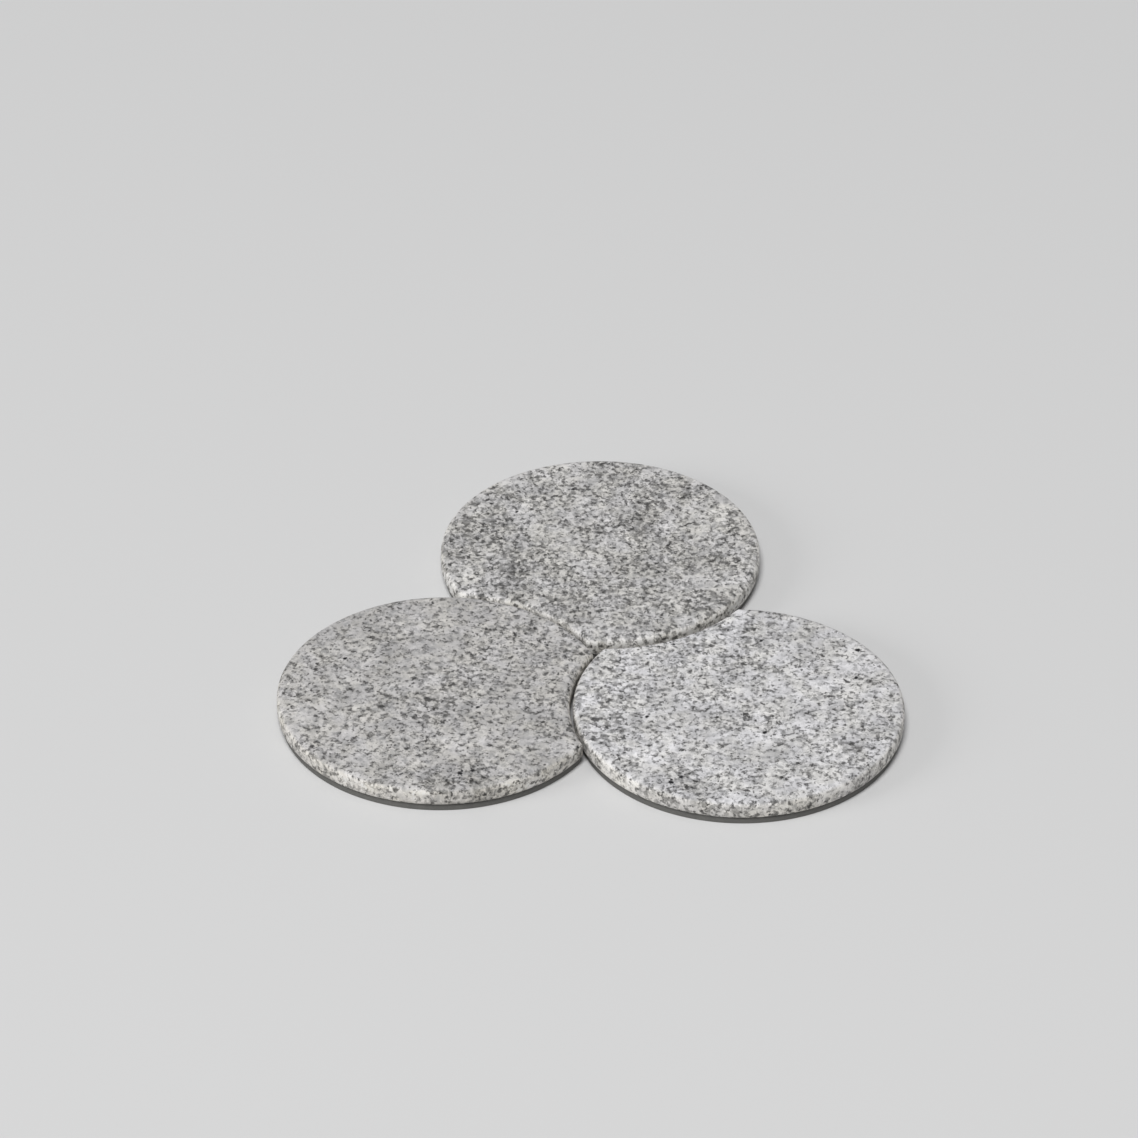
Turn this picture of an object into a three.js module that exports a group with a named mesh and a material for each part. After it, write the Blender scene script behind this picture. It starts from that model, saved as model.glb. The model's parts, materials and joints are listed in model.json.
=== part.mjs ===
// Three nesting stone coasters. Each is a granite disc with one round bite in its rim, and the rim of
// the next disc lies in that bite: left holds right, right holds back and back holds left.
// Millimetres, +Z up. The origin is on the table, in the middle of the set's bounding box.
import * as THREE from "three";

// Driving dimensions of one coaster.
const discDiameter = 100;
const stoneThickness = 5.8;
const topRound = 1.8; // radius of the rolled upper edge, along the rim and the bite
const bottomRound = 1.4; // radius of the eased lower edge
const roundShare = 0.9; // the most of the stone's thickness that the two rounds may take
const nestDepth = 10.8; // how far a nested rim reaches inside this disc's full circle
const nestClearance = 0.4; // between a bite and a rim that lies centred in it
const cuspRadius = 0.5; // rounding of the two corners where rim and bite meet
const padThickness = 2;
const padInset = 1; // from the stone's outline to the pad's
const adhesiveThickness = 0.2;
const adhesiveMargin = 1; // from the pad's outline to the adhesive's

// How far each rim stands out from the middle of the bite that holds it, as the set is laid out.
const standOff = { left: 0.5, right: 2.7, back: 0.5 };

// Facets along the outline's arcs and up the rounded edges.
const rimSteps = 108;
const biteSteps = 20;
const cuspSteps = 4;
const topSteps = 6;
const bottomSteps = 4;

const granite = new THREE.MeshStandardMaterial({ color: 0xb6b5b2, roughness: 0.75, metalness: 0 });
const rubber = new THREE.MeshStandardMaterial({ color: 0x77766f, roughness: 0.9, metalness: 0 });
const adhesive = new THREE.MeshStandardMaterial({ color: 0xd9d2bd, roughness: 0.6, metalness: 0 });

const discRadius = discDiameter / 2;
const nestPitch = discDiameter - nestDepth;
const undersideHeight = padThickness + adhesiveThickness;

// Points from one angle towards another on a circle. The last is left to the arc that follows.
function arc(centreX, centreY, radius, from, to, steps) {
  return Array.from({ length: steps }, (_, step) => {
    const angle = from + ((to - from) * step) / steps;
    return new THREE.Vector2(centreX + radius * Math.cos(angle), centreY + radius * Math.sin(angle));
  });
}

// The coaster's outline drawn in by an inset: the rim, the bite around a point one nest pitch along +X,
// and a small arc at each cusp that touches both. It runs counterclockwise.
function outline(inset) {
  const rim = discRadius - inset;
  const bite = discRadius + nestClearance + inset;
  const toRim = rim - cuspRadius;
  const toBite = bite + cuspRadius;
  const cuspX = (toRim ** 2 - toBite ** 2 + nestPitch ** 2) / (2 * nestPitch);
  const cuspY = Math.sqrt(toRim ** 2 - cuspX ** 2);
  const rimAngle = Math.atan2(cuspY, cuspX);
  const biteAngle = Math.atan2(cuspY, nestPitch - cuspX);
  return [
    ...arc(0, 0, rim, rimAngle, 2 * Math.PI - rimAngle, rimSteps),
    ...arc(cuspX, -cuspY, cuspRadius, -rimAngle, biteAngle, cuspSteps),
    ...arc(nestPitch, 0, bite, Math.PI + biteAngle, Math.PI - biteAngle, biteSteps),
    ...arc(cuspX, cuspY, cuspRadius, -biteAngle, rimAngle, cuspSteps),
  ];
}

// A closed solid through a stack of outlines, each with its inset and height, from the lowest up.
function loft(sections) {
  const rings = sections.map(({ inset }) => outline(inset));
  const count = rings[0].length;
  const positions = rings.flatMap((ring, level) => ring.flatMap(({ x, y }) => [x, y, sections[level].height]));
  const faces = [];
  for (let level = 0; level + 1 < rings.length; level++) {
    for (let step = 0; step < count; step++) {
      const low = level * count + step;
      const lowNext = level * count + ((step + 1) % count);
      faces.push(low, lowNext, lowNext + count, low, lowNext + count, low + count);
    }
  }
  const top = (rings.length - 1) * count;
  const underFaces = THREE.ShapeUtils.triangulateShape(rings[0], []);
  const topFaces = THREE.ShapeUtils.triangulateShape(rings.at(-1), []);
  for (const [a, b, c] of underFaces) faces.push(a, c, b);
  for (const [a, b, c] of topFaces) faces.push(top + a, top + b, top + c);
  const geometry = new THREE.BufferGeometry();
  geometry.setAttribute("position", new THREE.Float32BufferAttribute(positions, 3));
  geometry.setIndex(faces);
  geometry.computeVertexNormals();
  return geometry;
}

// Sections of a quarter round, from the flat face that it leaves to the upright wall that it ends on.
function quarterRound(radius, flatHeight, wallHeight, steps) {
  return Array.from({ length: steps + 1 }, (_, step) => {
    const angle = (Math.PI / 2) * (step / steps);
    return {
      inset: radius * (1 - Math.sin(angle)),
      height: wallHeight + (flatHeight - wallHeight) * Math.cos(angle),
    };
  });
}

// The stone: an eased lower edge, a short upright wall and a rolled upper edge.
function graniteDisc() {
  const fit = Math.min(1, (roundShare * stoneThickness) / (topRound + bottomRound));
  const top = fit * topRound;
  const bottom = fit * bottomRound;
  const underside = undersideHeight;
  const surface = undersideHeight + stoneThickness;
  return loft([
    ...quarterRound(bottom, underside, underside + bottom, bottomSteps),
    ...quarterRound(top, surface, surface - top, topSteps).reverse(),
  ]);
}

// A sheet cut to the coaster's outline, lying between two heights.
function sheet(inset, lower, upper) {
  return loft([
    { inset, height: lower },
    { inset, height: upper },
  ]);
}

function coaster(name) {
  const group = new THREE.Group();
  const add = (piece, geometry, material) => {
    const mesh = new THREE.Mesh(geometry, material);
    mesh.name = `${name}_${piece}`;
    group.add(mesh);
  };
  add("granite_disc", graniteDisc(), granite);
  add("adhesive_sheet", sheet(padInset + adhesiveMargin, padThickness, undersideHeight), adhesive);
  add("rubber_pad", sheet(padInset, 0, padThickness), rubber);
  return group;
}

// The discs' centres, from the three distances between them: left and right lie along X.
function layOut() {
  const leftToRight = nestPitch + standOff.left;
  const rightToBack = nestPitch + standOff.right;
  const backToLeft = nestPitch + standOff.back;
  const along = (leftToRight ** 2 + backToLeft ** 2 - rightToBack ** 2) / (2 * leftToRight);
  const away = Math.sqrt(backToLeft ** 2 - along ** 2);
  return {
    left: new THREE.Vector2(-leftToRight / 2, -away / 2),
    right: new THREE.Vector2(leftToRight / 2, -away / 2),
    back: new THREE.Vector2(along - leftToRight / 2, away / 2),
  };
}

// Each coaster is turned so that its bite faces the disc that it holds.
const holds = { left: "right", right: "back", back: "left" };
const centres = layOut();
const set = new THREE.Group();
for (const [name, held] of Object.entries(holds)) {
  const group = coaster(name);
  const centre = centres[name];
  group.position.set(centre.x, centre.y, 0);
  group.rotation.z = Math.atan2(centres[held].y - centre.y, centres[held].x - centre.x);
  set.add(group);
}

export default set;
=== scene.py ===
import json
import math

import bpy
from mathutils import Matrix, Vector


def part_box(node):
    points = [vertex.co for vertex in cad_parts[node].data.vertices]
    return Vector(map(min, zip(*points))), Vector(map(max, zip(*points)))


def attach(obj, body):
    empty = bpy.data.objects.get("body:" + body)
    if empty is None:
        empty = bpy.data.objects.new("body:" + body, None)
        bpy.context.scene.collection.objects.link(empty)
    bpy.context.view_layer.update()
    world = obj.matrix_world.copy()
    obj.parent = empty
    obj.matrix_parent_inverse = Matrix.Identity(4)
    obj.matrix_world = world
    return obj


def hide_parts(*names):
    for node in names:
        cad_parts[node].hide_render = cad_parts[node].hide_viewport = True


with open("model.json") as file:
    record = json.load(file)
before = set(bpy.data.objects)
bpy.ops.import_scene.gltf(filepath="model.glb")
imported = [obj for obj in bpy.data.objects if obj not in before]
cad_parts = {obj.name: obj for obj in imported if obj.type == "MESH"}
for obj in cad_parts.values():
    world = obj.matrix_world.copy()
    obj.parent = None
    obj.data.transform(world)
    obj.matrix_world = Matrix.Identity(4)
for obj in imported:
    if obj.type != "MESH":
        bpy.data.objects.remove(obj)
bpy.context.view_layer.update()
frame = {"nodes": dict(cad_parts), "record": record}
scene = bpy.context.scene
print("frame loaded:", ", ".join(sorted(frame["nodes"])))

# Where the coasters lie: each one's bite faces the coaster that it holds
holds = {"left": "right", "right": "back", "back": "left"}
mountPlaces = {mount["name"]: Vector(mount["pos_m"]) for mount in frame["record"]["mounts"]}


def centreOf(name):
    return mountPlaces[name + "_top"].xy


def placeOf(name):
    toHeld = centreOf(holds[name]) - centreOf(name)
    turn = Matrix.Rotation(math.atan2(toHeld.y, toHeld.x), 4, "Z")
    return Matrix.Translation(centreOf(name).to_3d()) @ turn


# The three coasters are alike, so the left one's nodes give the sizes
stoneNode, padNode = "left_granite_disc", "left_rubber_pad"


def radiusOf(node):
    low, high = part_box(node)
    centre = centreOf("left")
    return max(centre.x - low.x, high.x - centre.x, centre.y - low.y, high.y - centre.y)


def heightsOf(node):
    return [corner.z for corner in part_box(node)]


# Small helpers for working as by hand
def selectOnly(obj):
    bpy.ops.object.select_all(action="DESELECT")
    obj.select_set(True)
    bpy.context.view_layer.objects.active = obj


def applyModifier(obj, kind, **settings):
    selectOnly(obj)
    modifier = obj.modifiers.new(kind.lower(), kind)
    for key, value in settings.items():
        setattr(modifier, key, value)
    bpy.ops.object.modifier_apply(modifier=modifier.name)


def pickEdges(obj, wanted):
    selectOnly(obj)
    bpy.ops.object.mode_set(mode="EDIT")
    bpy.ops.mesh.select_mode(type="EDGE")
    bpy.ops.mesh.select_all(action="DESELECT")
    bpy.ops.object.mode_set(mode="OBJECT")
    points = obj.data.vertices
    for edge in obj.data.edges:
        edge.select = wanted(*(points[index].co for index in edge.vertices))
    bpy.ops.object.mode_set(mode="EDIT")


def bevelPicked(width, segments):
    bpy.ops.mesh.bevel(offset=width, segments=segments, profile=0.5, affect="EDGES", clamp_overlap=False)
    bpy.ops.object.mode_set(mode="OBJECT")


# Outline shared by stone and pad: a round with one bite, in metres
outline = {
    "nestDepth": 0.0108,
    "nestClearance": 0.0004,
    "sides": 360,
    "cutterHeights": 3,  # the cutter is so many times as high as the blank
    "hair": 1e-6,
}


def bittenRound(name, node, inset):
    low, high = heightsOf(node)
    middle, height = (low + high) / 2, high - low
    radius = radiusOf(node)
    full = radius + inset  # the stone's own radius
    pitch = 2 * full - outline["nestDepth"]
    biteRadius = full + outline["nestClearance"] + inset
    bpy.ops.object.select_all(action="DESELECT")
    bpy.ops.mesh.primitive_cylinder_add(
        vertices=outline["sides"], radius=radius, depth=height, location=(0, 0, middle))
    blank = bpy.context.object
    blank.name = name
    bpy.ops.object.transform_apply()
    bpy.ops.mesh.primitive_cylinder_add(
        vertices=outline["sides"], radius=biteRadius, depth=outline["cutterHeights"] * height,
        location=(pitch, 0, middle))
    cutter = bpy.context.object
    applyModifier(blank, "BOOLEAN", operation="DIFFERENCE", object=cutter, solver="EXACT")
    bpy.data.objects.remove(cutter)
    return blank


# Granite disc: rolled edges, then the relief of cut stone, in metres
stone = {
    "topRound": 0.0018,
    "topSegments": 9,
    "bottomRound": 0.0014,
    "bottomSegments": 3,
    "voxel": 0.00045,
    "smoothFactor": 0.5,
    "smoothTurns": 1,
    "reliefFade": 0.0006,  # the relief grows from nothing to full over this height
    "relief": {
        "heave": {"kind": "CLOUDS", "scale": 0.02, "strength": 0.00012, "where": "exposed"},
        "chatter": {"kind": "CLOUDS", "scale": 0.003, "strength": 0.00008, "where": "edge"},
        "pitting": {"kind": "STUCCI", "scale": 0.0008, "strength": 0.00004, "where": "exposed"},
    },
}


def cutStone():
    low, high = heightsOf(stoneNode)
    hair = outline["hair"]
    blank = bittenRound("stone", stoneNode, 0)
    pickEdges(blank, lambda a, b: min(a.z, b.z) > high - hair)
    bevelPicked(stone["topRound"], stone["topSegments"])
    pickEdges(blank, lambda a, b: max(a.z, b.z) < low + hair)
    bevelPicked(stone["bottomRound"], stone["bottomSegments"])
    applyModifier(blank, "REMESH", mode="VOXEL", voxel_size=stone["voxel"], use_smooth_shade=True)
    applyModifier(blank, "SMOOTH", factor=stone["smoothFactor"], iterations=stone["smoothTurns"])
    print("stone cut:", len(blank.data.polygons), "faces")
    return blank


stoneBlank = cutStone()


def reliefTexture(name):
    values = stone["relief"][name]
    texture = bpy.data.textures.new(name, values["kind"])
    texture.noise_scale = values["scale"]
    return texture


reliefTextures = {name: reliefTexture(name) for name in stone["relief"]}


def roughen(piece):
    low, high = heightsOf(stoneNode)
    start = low + stone["bottomRound"]
    exposed = piece.vertex_groups.new(name="exposed")
    edge = piece.vertex_groups.new(name="edge")
    for vertex in piece.data.vertices:
        weight = min(1, max(0, (vertex.co.z - start) / stone["reliefFade"]))
        if weight > 0:
            exposed.add([vertex.index], weight, "REPLACE")
            if vertex.co.z < high - outline["hair"]:
                edge.add([vertex.index], weight, "REPLACE")
    for name, values in stone["relief"].items():
        applyModifier(piece, "DISPLACE", texture=reliefTextures[name], texture_coords="LOCAL",
                      vertex_group=values["where"], strength=values["strength"], mid_level=0.5)
    piece.vertex_groups.clear()


# Rubber pad, in metres and degrees
pad = {
    "edgeRound": 0.0002,
    "edgeSegments": 2,
    "smoothAngle": 40,
}


def cutPad():
    low, high = heightsOf(padNode)
    hair = outline["hair"]
    blank = bittenRound("pad", padNode, radiusOf(stoneNode) - radiusOf(padNode))
    pickEdges(blank, lambda a, b: max(a.z, b.z) < low + hair or min(a.z, b.z) > high - hair)
    bevelPicked(pad["edgeRound"], pad["edgeSegments"])
    selectOnly(blank)
    bpy.ops.object.shade_smooth_by_angle(angle=math.radians(pad["smoothAngle"]))
    print("pad cut:", len(blank.data.polygons), "faces")
    return blank


padBlank = cutPad()


# Short names for the shader nodes in use
class Wiring:
    # The Mix node has sockets for every kind of value, and these are for colours
    mixColours, mixResult = (6, 7), 2

    def __init__(self, tree):
        self.tree = tree

    def node(self, kind, **settings):
        made = self.tree.nodes.new(kind)
        for key, value in settings.items():
            setattr(made, key, value)
        return made

    def feed(self, socket, value):
        if isinstance(value, bpy.types.NodeSocket):
            self.tree.links.new(value, socket)
        else:
            socket.default_value = value

    def objectPlace(self):
        return self.node("ShaderNodeTexCoord").outputs["Object"]

    def math(self, operation, *values):
        made = self.node("ShaderNodeMath", operation=operation)
        for socket, value in zip(made.inputs, values):
            self.feed(socket, value)
        return made.outputs[0]

    def plus(self, first, second):
        return self.math("ADD", first, second)

    def minus(self, first, second):
        return self.math("SUBTRACT", first, second)

    def times(self, first, second):
        return self.math("MULTIPLY", first, second)

    def centred(self, value):
        return self.minus(value, 0.5)

    def vector(self, operation, first, second):
        made = self.node("ShaderNodeVectorMath", operation=operation)
        self.feed(made.inputs[0], first)
        self.feed(made.inputs["Scale"] if operation == "SCALE" else made.inputs[1], second)
        return made.outputs[0]

    # From one pair of ends to another: a ramp eases in and out, a spread is straight
    def ramp(self, value, source, target=(0, 1), easing="SMOOTHSTEP"):
        made = self.node("ShaderNodeMapRange", interpolation_type=easing)
        for socket, item in zip(made.inputs, (value, *source, *target)):
            self.feed(socket, item)
        return made.outputs[0]

    def spread(self, value, source, target):
        return self.ramp(value, source, target, "LINEAR")

    def between(self, share, target):
        return self.spread(share, (0, 1), target)

    def blend(self, kind, factor, first, second):
        made = self.node("ShaderNodeMix", data_type="RGBA", blend_type=kind)
        self.feed(made.inputs["Factor"], factor)
        for index, colour in zip(self.mixColours, (first, second)):
            self.feed(made.inputs[index], colour)
        return made.outputs[self.mixResult]

    def mixed(self, factor, first, second):
        return self.blend("MIX", factor, first, second)

    def shaded(self, colour, tone):
        return self.blend("MULTIPLY", 1.0, colour, tone)

    def noise(self, vector, scale, detail, roughness):
        made = self.node("ShaderNodeTexNoise")
        self.feed(made.inputs["Vector"], vector)
        for label, value in (("Scale", scale), ("Detail", detail), ("Roughness", roughness)):
            self.feed(made.inputs[label], value)
        return made.outputs["Fac"], made.outputs["Color"]

    # How far a place is from its crystal's heart, and three draws that are the same all over a crystal
    def cells(self, vector, scale):
        made = self.node("ShaderNodeTexVoronoi")
        self.feed(made.inputs["Vector"], vector)
        self.feed(made.inputs["Scale"], scale)
        apart = self.node("ShaderNodeSeparateColor")
        self.feed(apart.inputs[0], made.outputs["Color"])
        return made.outputs["Distance"], apart.outputs


def newMaterial(name):
    material = bpy.data.materials.new(name)
    material.use_nodes = True
    return material, Wiring(material.node_tree), material.node_tree.nodes["Principled BSDF"]


def addBump(wires, shader, height, distance, strength):
    bump = wires.node("ShaderNodeBump")
    bump.inputs["Distance"].default_value = distance
    bump.inputs["Strength"].default_value = strength
    wires.feed(bump.inputs["Height"], height)
    wires.feed(shader.inputs["Normal"], bump.outputs["Normal"])


# Granite grain, shared by the three stones. A grain unit is a little over a millimetre. A noise is its
# scale, detail and roughness, and cells are crystals to the unit
grain = {
    "unitsPerMetre": 940,
    "push": {"noise": (0.74, 4.0, 0.65), "reach": 1.7},
    "feldspar": {"cells": 0.33, "tone": (0.93, 1.05)},
    "cloud": {"noise": (0.09, 3.0, 0.5), "depth": 0.9},
    "tint": {
        "noise": (0.14, 2.0, 0.5), "band": (0.35, 0.65),
        "cool": (0.985, 0.98, 1.0, 1), "warm": (1.0, 0.988, 0.967, 1),
    },
    "quartz": {
        "cells": 0.62, "reach": (0.3, 0.8), "fade": (1, 0.2), "depth": (0.22, 0.66),
        "colour": (0.28, 0.28, 0.285, 1),
    },
    "quartzCrowd": {"noise": (0.26, 4.0, 0.65), "band": (0.36, 0.64), "share": (0.2, 1.8)},
    "crowd": {
        "fine": (0.24, 4.0, 0.65), "fineShare": 0.6,
        "broad": (0.07, 2.0, 0.5), "broadShare": 0.4,
        "pull": 0.5,
    },
    "mica": {
        "noise": (0.64, 3.5, 0.7), "band": (0.85, 0.99), "cells": 0.9, "depth": (0.42, 0.95),
        "colour": (0.026, 0.025, 0.024, 1),
    },
    "points": {
        "cells": 1.0, "band": (0.4, 0.6), "share": (0.06, 0.26), "reach": (0.2, 0.5), "depth": (0.42, 0.95),
    },
    "spots": {
        "cells": 0.36, "share": 0.024, "inner": (0.06, 0.22), "outer": (0.17, 0.34),
        "colour": (0.02, 0.02, 0.022, 1),
    },
    "drift": {"noise": (0.72, 4.0, 0.72), "band": (0.3, 0.7), "tone": (0.8, 1.1)},
    "grit": {"noise": (3.0, 3.0, 0.5), "band": (0.25, 0.75), "tone": (0.96, 1.04)},
    "shine": {"roughness": (0.62, 0.48), "grit": 0.2, "specular": 0.35},
    "height": {"grit": 0.5, "dark": 0.6, "quartz": 0.12},
    "bump": {"distance": 0.0001, "strength": 0.5},
    "edge": {"start": 0.00005, "full": 0.0011},  # metres below the top face
}


def newGroup(name, inputs, outputs):
    group = bpy.data.node_groups.new(name, "ShaderNodeTree")
    for way, sockets in (("INPUT", inputs), ("OUTPUT", outputs)):
        for label, kind in sockets.items():
            group.interface.new_socket(label, in_out=way, socket_type=kind)
    return group


def grainGroup():
    group = newGroup("graniteGrain", {
        "Vector": "NodeSocketVector",
        "Ground": "NodeSocketColor",
        "Quartz Share": "NodeSocketFloat",
        "Mica Share": "NodeSocketFloat",
    }, {
        "Color": "NodeSocketColor",
        "Roughness": "NodeSocketFloat",
        "Height": "NodeSocketFloat",
    })
    wires = Wiring(group)
    given = wires.node("NodeGroupInput").outputs
    place = given["Vector"]

    # Ragged crystal borders: the place is pushed about before the crystals are drawn
    push = wires.vector("SUBTRACT", wires.noise(place, *grain["push"]["noise"])[1], (0.5, 0.5, 0.5))
    ragged = wires.vector("ADD", place, wires.vector("SCALE", push, grain["push"]["reach"]))

    # Feldspar ground in crystals of a few millimetres, each of its own tone, under slow clouds and tints
    draws = wires.cells(ragged, grain["feldspar"]["cells"])[1]
    cloud = wires.centred(wires.noise(place, *grain["cloud"]["noise"])[0])
    tone = wires.plus(wires.between(draws[0], grain["feldspar"]["tone"]),
                      wires.times(cloud, grain["cloud"]["depth"]))
    tint = grain["tint"]
    warmth = wires.ramp(wires.noise(place, *tint["noise"])[0], tint["band"])
    ground = wires.shaded(given["Ground"], wires.mixed(warmth, tint["cool"], tint["warm"]))
    body = wires.shaded(ground, tone)

    # Grey quartz grains, gathered between the feldspar
    quartz, gathering = grain["quartz"], grain["quartzCrowd"]
    reach, draws = wires.cells(ragged, quartz["cells"])
    gathered = wires.spread(wires.noise(place, *gathering["noise"])[0], gathering["band"], gathering["share"])
    isQuartz = wires.math("LESS_THAN", draws[0], wires.times(given["Quartz Share"], gathered))
    quartzMask = wires.times(isQuartz, wires.ramp(reach, quartz["reach"], quartz["fade"]))
    quartzDepth = wires.times(quartzMask, wires.between(draws[1], quartz["depth"]))
    body = wires.mixed(quartzDepth, body, quartz["colour"])

    # Dark mica flakes: ragged flecks, more of them where the flakes crowd
    crowd, mica = grain["crowd"], grain["mica"]
    crowding = wires.plus(wires.times(wires.noise(place, *crowd["fine"])[0], crowd["fineShare"]),
                          wires.times(wires.noise(place, *crowd["broad"])[0], crowd["broadShare"]))
    fleck = wires.plus(wires.noise(ragged, *mica["noise"])[0],
                       wires.times(wires.centred(crowding), crowd["pull"]))
    flakeMask = wires.ramp(wires.plus(fleck, given["Mica Share"]), mica["band"])
    draws = wires.cells(ragged, mica["cells"])[1]
    flakeDepth = wires.times(flakeMask, wires.between(draws[0], mica["depth"]))
    body = wires.mixed(flakeDepth, body, mica["colour"])

    # Fine dark points
    points = grain["points"]
    reach, draws = wires.cells(ragged, points["cells"])
    isPoint = wires.math("LESS_THAN", draws[0], wires.spread(crowding, points["band"], points["share"]))
    pointMask = wires.times(isPoint, wires.ramp(reach, points["reach"], (1, 0)))
    pointDepth = wires.times(pointMask, wires.between(draws[1], points["depth"]))
    body = wires.mixed(pointDepth, body, mica["colour"])

    # A few large black flakes
    spots = grain["spots"]
    reach, draws = wires.cells(ragged, spots["cells"])
    isSpot = wires.math("LESS_THAN", draws[0], spots["share"])
    border = (wires.between(draws[1], spots["inner"]), wires.between(draws[1], spots["outer"]))
    spotMask = wires.times(isSpot, wires.ramp(reach, border, (1, 0)))
    body = wires.mixed(spotMask, body, spots["colour"])

    # Clear quartz and thin feldspar let the tone drift inside a crystal, and grit breaks it up
    drift = wires.noise(ragged, *grain["drift"]["noise"])[0]
    grit = wires.noise(place, *grain["grit"]["noise"])[0]
    tone = wires.times(wires.spread(drift, grain["drift"]["band"], grain["drift"]["tone"]),
                       wires.spread(grit, grain["grit"]["band"], grain["grit"]["tone"]))
    body = wires.shaded(body, tone)

    # Black flakes shine more than the rest and lie deeper, and quartz lies a little deeper
    shine, depths = grain["shine"], grain["height"]
    dark = wires.math("MAXIMUM", flakeMask, spotMask)
    roughness = wires.plus(wires.between(dark, shine["roughness"]),
                           wires.times(wires.centred(grit), shine["grit"]))
    height = wires.minus(wires.times(grit, depths["grit"]), wires.times(dark, depths["dark"]))
    height = wires.minus(height, wires.times(quartzMask, depths["quartz"]))
    out = wires.node("NodeGroupOutput").inputs
    wires.feed(out["Color"], body)
    wires.feed(out["Roughness"], roughness)
    wires.feed(out["Height"], height)
    return group


graniteGrain = grainGroup()

# What differs from stone to stone: the cut through the grain, the tones and the look of the rolled edge. The
# left and back stones' darker grounds are painted shade, and their stronger edge tints keep the rolled edge
# paler than the shaded top
granite = {
    "left": {
        "shift": (31, 7, 0), "turn": 20,
        # Painted shade: this ground is darker than the right stone's to stand for the shade of a cup standing
        # on this coaster, and the stronger edge tint keeps the rolled edge paler than the shaded top
        "ground": (0.582, 0.572, 0.558, 1), "quartzShare": 0.42, "micaShare": 0.373,
        "edgeTint": (1.31, 1.29, 1.225, 1), "edgePalest": (0.72, 0.71, 0.69, 1), "edgeMica": 0.025,
    },
    "right": {
        "shift": (0, 0, 0), "turn": 0,
        "ground": (0.722, 0.719, 0.72, 1), "quartzShare": 0.42, "micaShare": 0.373,
        "edgeTint": (1.1, 1.08, 1.025, 1), "edgePalest": (0.8, 0.787, 0.76, 1), "edgeMica": 0.01,
    },
    "back": {
        "shift": (-57, 83, 11), "turn": 75,
        # Painted shade: this ground is darker than the right stone's, and the stronger edge tint keeps the
        # rolled edge paler than the shaded top and paints extra light on the edge by the seam
        "ground": (0.658, 0.65, 0.635, 1), "quartzShare": 0.47, "micaShare": 0.406,
        "edgeTint": (1.38, 1.365, 1.32, 1), "edgePalest": (0.74, 0.73, 0.707, 1), "edgeMica": 0.0,
    },
}


def graniteMaterial(name):
    values, edge = granite[name], grain["edge"]
    material, wires, shader = newMaterial(name + "Granite")
    place = wires.objectPlace()
    mapping = wires.node("ShaderNodeMapping")
    wires.feed(mapping.inputs["Vector"], place)
    mapping.inputs["Location"].default_value = values["shift"]
    mapping.inputs["Rotation"].default_value = (0, 0, math.radians(values["turn"]))
    mapping.inputs["Scale"].default_value = [grain["unitsPerMetre"]] * 3

    # The rolled edge is left rougher than the honed top, so it looks paler and warmer and shows more flakes.
    # On the left and back stones the stronger tint also lifts the edge above the painted shade in their
    # grounds, and on the back one it paints extra light on the edge
    apart = wires.node("ShaderNodeSeparateXYZ")
    wires.feed(apart.inputs[0], place)
    top = heightsOf(stoneNode)[1]
    onEdge = wires.ramp(apart.outputs["Z"], (top - edge["full"], top - edge["start"]), (1, 0))
    micaShare = wires.math("MULTIPLY_ADD", onEdge, values["edgeMica"], values["micaShare"])

    grains = wires.node("ShaderNodeGroup", node_tree=graniteGrain)
    wires.feed(grains.inputs["Vector"], mapping.outputs["Vector"])
    grains.inputs["Ground"].default_value = values["ground"]
    grains.inputs["Quartz Share"].default_value = values["quartzShare"]
    wires.feed(grains.inputs["Mica Share"], micaShare)
    tinted = wires.blend("MULTIPLY", onEdge, grains.outputs["Color"], values["edgeTint"])
    wires.feed(shader.inputs["Base Color"], wires.blend("DARKEN", onEdge, tinted, values["edgePalest"]))
    wires.feed(shader.inputs["Roughness"], grains.outputs["Roughness"])
    shader.inputs["Specular IOR Level"].default_value = grain["shine"]["specular"]
    addBump(wires, shader, grains.outputs["Height"], **grain["bump"])
    return material


# Rubber, matt and finely stippled
rubber = {
    "colour": (0.148, 0.146, 0.138, 1),
    "unitsPerMetre": 1000,
    "band": (0.3, 0.7),
    "mottle": {"noise": (0.25, 4.0, 0.6), "tone": (0.9, 1.1)},
    "stipple": {"noise": (2.2, 3.0, 0.6), "tone": (0.92, 1.08)},
    "roughness": (0.74, 0.88),
    "specular": 0.3,
    "bump": {"distance": 0.0001, "strength": 0.4},
}


def rubberMaterial():
    material, wires, shader = newMaterial("padRubber")
    place = wires.vector("SCALE", wires.objectPlace(), rubber["unitsPerMetre"])
    mottle = wires.noise(place, *rubber["mottle"]["noise"])[0]
    stipple = wires.noise(place, *rubber["stipple"]["noise"])[0]
    tone = wires.times(wires.spread(mottle, rubber["band"], rubber["mottle"]["tone"]),
                       wires.spread(stipple, rubber["band"], rubber["stipple"]["tone"]))
    wires.feed(shader.inputs["Base Color"], wires.shaded(rubber["colour"], tone))
    wires.feed(shader.inputs["Roughness"], wires.spread(mottle, rubber["band"], rubber["roughness"]))
    shader.inputs["Specular IOR Level"].default_value = rubber["specular"]
    addBump(wires, shader, stipple, **rubber["bump"])
    return material


# Adhesive sheet, a fibrous tape
tape = {
    "colour": (0.62, 0.58, 0.47, 1),
    "unitsPerMetre": 1000,
    "fibre": (1.5, 4.0, 0.65),
    "band": (0.3, 0.7),
    "tone": (0.85, 1.05),
    "roughness": (0.4, 0.6),
    "bump": {"distance": 0.00005, "strength": 0.4},
}


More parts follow.
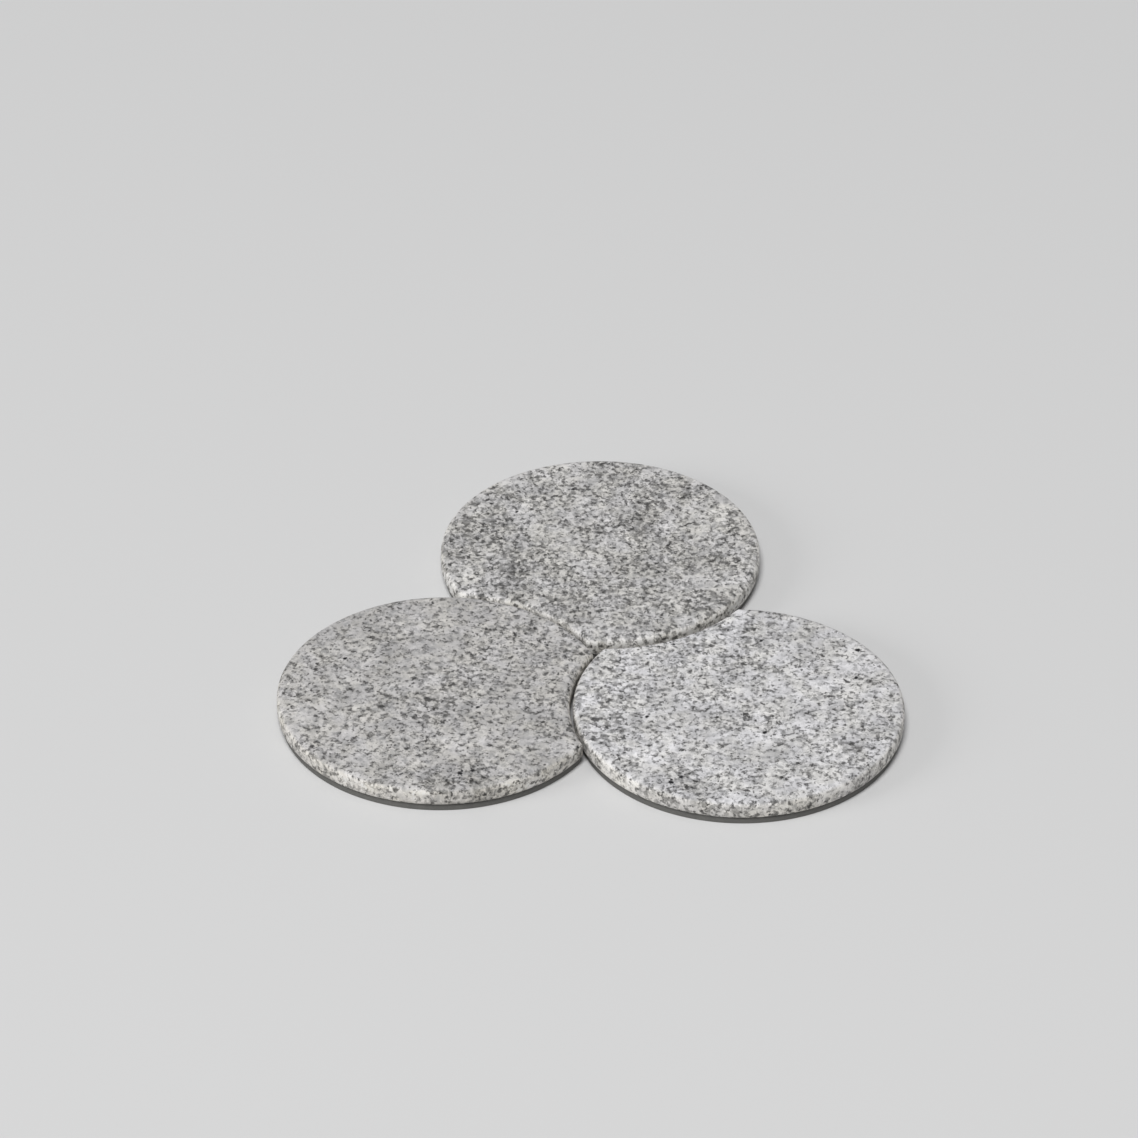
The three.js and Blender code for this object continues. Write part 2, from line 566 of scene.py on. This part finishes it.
def tapeMaterial():
    material, wires, shader = newMaterial("adhesiveTape")
    place = wires.vector("SCALE", wires.objectPlace(), tape["unitsPerMetre"])
    fibre = wires.noise(place, *tape["fibre"])[0]
    tone = wires.spread(fibre, tape["band"], tape["tone"])
    wires.feed(shader.inputs["Base Color"], wires.shaded(tape["colour"], tone))
    wires.feed(shader.inputs["Roughness"], wires.spread(fibre, tape["band"], tape["roughness"]))
    addBump(wires, shader, fibre, **tape["bump"])
    return material


# Laying the three coasters
def layCopy(blank, name, kind):
    copy = blank.copy()
    copy.data = blank.data.copy()
    copy.name = copy.data.name = name + "_" + kind
    scene.collection.objects.link(copy)
    copy.matrix_world = placeOf(name)
    selectOnly(copy)
    bpy.ops.object.transform_apply()
    return copy


padRubber = rubberMaterial()
adhesiveTape = tapeMaterial()
for name in holds:
    disc = layCopy(stoneBlank, name, "stone")
    roughen(disc)
    disc.data.materials.append(graniteMaterial(name))
    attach(disc, name + "_coaster")
    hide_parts(name + "_granite_disc")
    foot = layCopy(padBlank, name, "pad")
    foot.data.materials.append(padRubber)
    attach(foot, name + "_coaster")
    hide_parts(name + "_rubber_pad")
    sheet = frame["nodes"][name + "_adhesive_sheet"]
    sheet.material_slots[0].material = adhesiveTape
    print(name, "coaster laid:", len(disc.data.polygons), "stone faces")
for blank in (stoneBlank, padBlank):
    bpy.data.objects.remove(blank)

# Floor
floorLook = {
    "size": 8.0,
    "colour": (0.66, 0.66, 0.66, 1),
    "roughness": 0.9,
    "specular": 0.0,
}


def layFloor():
    bpy.ops.object.select_all(action="DESELECT")
    bpy.ops.mesh.primitive_plane_add(size=floorLook["size"], location=(0, 0, 0))
    floor = bpy.context.object
    floor.name = "floor"
    material, _, shader = newMaterial("paleFloor")
    shader.inputs["Base Color"].default_value = floorLook["colour"]
    shader.inputs["Roughness"].default_value = floorLook["roughness"]
    shader.inputs["Specular IOR Level"].default_value = floorLook["specular"]
    floor.data.materials.append(material)


layFloor()


# The way to a lamp or camera, by its azimuth from +X and its elevation in degrees
def wayTo(azimuth, elevation):
    azimuth, elevation = math.radians(azimuth), math.radians(elevation)
    level = math.cos(elevation)
    return Vector((math.cos(azimuth) * level, math.sin(azimuth) * level, math.sin(elevation)))


# Light: a soft lamp at the front, a low one at the left that shows up the edges, and an even sky
lamps = {
    "key": {"azimuth": 261, "elevation": 65, "distance": 6.0, "size": 2.4, "power": 270.0},
    "low": {"azimuth": 206, "elevation": 20, "distance": 6.0, "size": 2.7, "power": 114.0},
}
skyColour = (0.22, 0.221, 0.223, 1)


def hangLamp(name):
    values = lamps[name]
    way = wayTo(values["azimuth"], values["elevation"])
    lamp = bpy.data.lights.new(name, "AREA")
    lamp.shape = "DISK"
    lamp.size = values["size"]
    lamp.energy = values["power"]
    holder = bpy.data.objects.new(name, lamp)
    scene.collection.objects.link(holder)
    holder.location = way * values["distance"]
    holder.rotation_euler = way.to_track_quat("Z", "Y").to_euler()


for name in lamps:
    hangLamp(name)
sky = bpy.data.worlds.new("studio")
sky.use_nodes = True
sky.node_tree.nodes["Background"].inputs["Color"].default_value = skyColour
scene.world = sky

# Camera, set from the discs' outlines in the picture
lens = {
    "azimuth": -85.92,
    "elevation": 34.99,
    "distance": 1.7286,
    "aim": (-0.01198, 0.03861, 0),
    "focal": 174.0,
    "sensor": 36.0,
}


def setCamera():
    way = wayTo(lens["azimuth"], lens["elevation"])
    data = bpy.data.cameras.new("camera")
    data.sensor_width = lens["sensor"]
    data.lens = lens["focal"]
    camera = bpy.data.objects.new("camera", data)
    scene.collection.objects.link(camera)
    camera.location = Vector(lens["aim"]) + way * lens["distance"]
    camera.rotation_euler = way.to_track_quat("Z", "Y").to_euler()
    scene.camera = camera


setCamera()
scene.view_settings.view_transform = "Standard"
print("floor, light and camera set")
